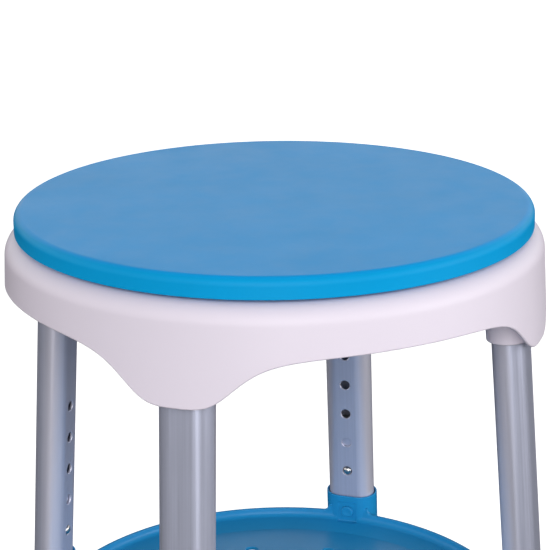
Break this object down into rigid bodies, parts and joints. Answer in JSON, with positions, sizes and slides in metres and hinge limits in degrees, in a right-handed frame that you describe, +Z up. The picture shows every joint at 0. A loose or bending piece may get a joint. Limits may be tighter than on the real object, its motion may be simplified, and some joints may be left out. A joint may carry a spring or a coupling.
{
  "type": "rotating shower stool",
  "caption": "Round shower stool: a flat blue seat disc turning on a white lobed base, splayed oval legs with push-button height extensions, rubber feet and a round blue tray between the legs",
  "frame": {"origin": "On the floor, under the middle of the seat, at the bottom centre of the overall box", "axes": "+Z up along the seat's swivel axis; the legs stand on the diagonals between X and Y; X and Y are otherwise alike"},
  "size_m": [0.3662, 0.3662, 0.5],
  "materials": {
    "seat_blue": "satin moulded blue",
    "base_white": "smooth moulded white",
    "tray_blue": "satin moulded blue",
    "anodised_aluminium": "satin anodised",
    "stainless_steel": "bright",
    "brass": "plain",
    "grey_plastic": "fine texture",
    "natural_nylon": "plain",
    "grey_rubber": "matt"
  },
  "bodies": {
    "stool_frame": {"seat_base": "base_white", "lower_race": "natural_nylon", "pivot_bush": "natural_nylon", "tray": "tray_blue", "leg_tube_1": "anodised_aluminium", "leg_tube_2": "anodised_aluminium", "leg_tube_3": "anodised_aluminium", "leg_tube_4": "anodised_aluminium", "leg_screw_1": "stainless_steel", "leg_screw_2": "stainless_steel", "leg_screw_3": "stainless_steel", "leg_screw_4": "stainless_steel", "guide_bush_1": "grey_plastic", "guide_bush_2": "grey_plastic", "guide_bush_3": "grey_plastic", "guide_bush_4": "grey_plastic", "tray_pin_1": "tray_blue", "tray_pin_2": "tray_blue", "tray_pin_3": "tray_blue", "tray_pin_4": "tray_blue"},
    "swivel_seat": {"seat_disc": "seat_blue", "upper_race": "natural_nylon", "hub_insert": "brass", "pivot_bolt": "stainless_steel", "pivot_washer": "stainless_steel"},
    "bearing_cage": {"ball_cage": "natural_nylon"},
    "leg_extension_1": {"extension_tube_1": "anodised_aluminium", "tube_plug_1": "grey_plastic", "rubber_foot_1": "grey_rubber", "foot_washer_1": "stainless_steel", "button_spring_1": "stainless_steel"},
    "lock_button_1": {"snap_button_1": "stainless_steel"},
    "leg_extension_2": {"extension_tube_2": "anodised_aluminium", "tube_plug_2": "grey_plastic", "rubber_foot_2": "grey_rubber", "foot_washer_2": "stainless_steel", "button_spring_2": "stainless_steel"},
    "lock_button_2": {"snap_button_2": "stainless_steel"},
    "leg_extension_3": {"extension_tube_3": "anodised_aluminium", "tube_plug_3": "grey_plastic", "rubber_foot_3": "grey_rubber", "foot_washer_3": "stainless_steel", "button_spring_3": "stainless_steel"},
    "lock_button_3": {"snap_button_3": "stainless_steel"},
    "leg_extension_4": {"extension_tube_4": "anodised_aluminium", "tube_plug_4": "grey_plastic", "rubber_foot_4": "grey_rubber", "foot_washer_4": "stainless_steel", "button_spring_4": "stainless_steel"},
    "lock_button_4": {"snap_button_4": "stainless_steel"}
  },
  "joints": [
    {"name": "seat_swivel", "type": "hinge", "parent": "stool_frame", "child": "swivel_seat", "pos_m": [0, 0, 0.485], "axis": [0, 0, 1], "continuous": true},
    {"name": "cage_roll", "type": "hinge", "parent": "stool_frame", "child": "bearing_cage", "pos_m": [0, 0, 0.485], "axis": [0, 0, 1], "continuous": true},
    {"name": "leg_adjust_1", "type": "slide", "parent": "stool_frame", "child": "leg_extension_1", "axis": [-0.0504, -0.0504, 0.9975], "range_m": [0, 0.1], "deforming": ["snap_button_1"]},
    {"name": "button_press_1", "type": "slide", "parent": "leg_extension_1", "child": "lock_button_1", "axis": [0.7053, 0.7053, 0.0713], "range_m": [0, 0.004], "stiffness_N_per_m": 1500, "springref_m": -0.004, "deforming": ["button_spring_1"]},
    {"name": "leg_adjust_2", "type": "slide", "parent": "stool_frame", "child": "leg_extension_2", "axis": [0.0504, -0.0504, 0.9975], "range_m": [0, 0.1], "deforming": ["snap_button_2"]},
    {"name": "button_press_2", "type": "slide", "parent": "leg_extension_2", "child": "lock_button_2", "axis": [-0.7053, 0.7053, 0.0713], "range_m": [0, 0.004], "stiffness_N_per_m": 1500, "springref_m": -0.004, "deforming": ["button_spring_2"]},
    {"name": "leg_adjust_3", "type": "slide", "parent": "stool_frame", "child": "leg_extension_3", "axis": [0.0504, 0.0504, 0.9975], "range_m": [0, 0.1], "deforming": ["snap_button_3"]},
    {"name": "button_press_3", "type": "slide", "parent": "leg_extension_3", "child": "lock_button_3", "axis": [-0.7053, -0.7053, 0.0713], "range_m": [0, 0.004], "stiffness_N_per_m": 1500, "springref_m": -0.004, "deforming": ["button_spring_3"]},
    {"name": "leg_adjust_4", "type": "slide", "parent": "stool_frame", "child": "leg_extension_4", "axis": [-0.0504, 0.0504, 0.9975], "range_m": [0, 0.1], "deforming": ["snap_button_4"]},
    {"name": "button_press_4", "type": "slide", "parent": "leg_extension_4", "child": "lock_button_4", "axis": [0.7053, -0.7053, 0.0713], "range_m": [0, 0.004], "stiffness_N_per_m": 1500, "springref_m": -0.004, "deforming": ["button_spring_4"]}
  ],
  "couplings": [
    {"joint": "cage_roll", "follows": "seat_swivel", "ratio": 0.5}
  ]
}
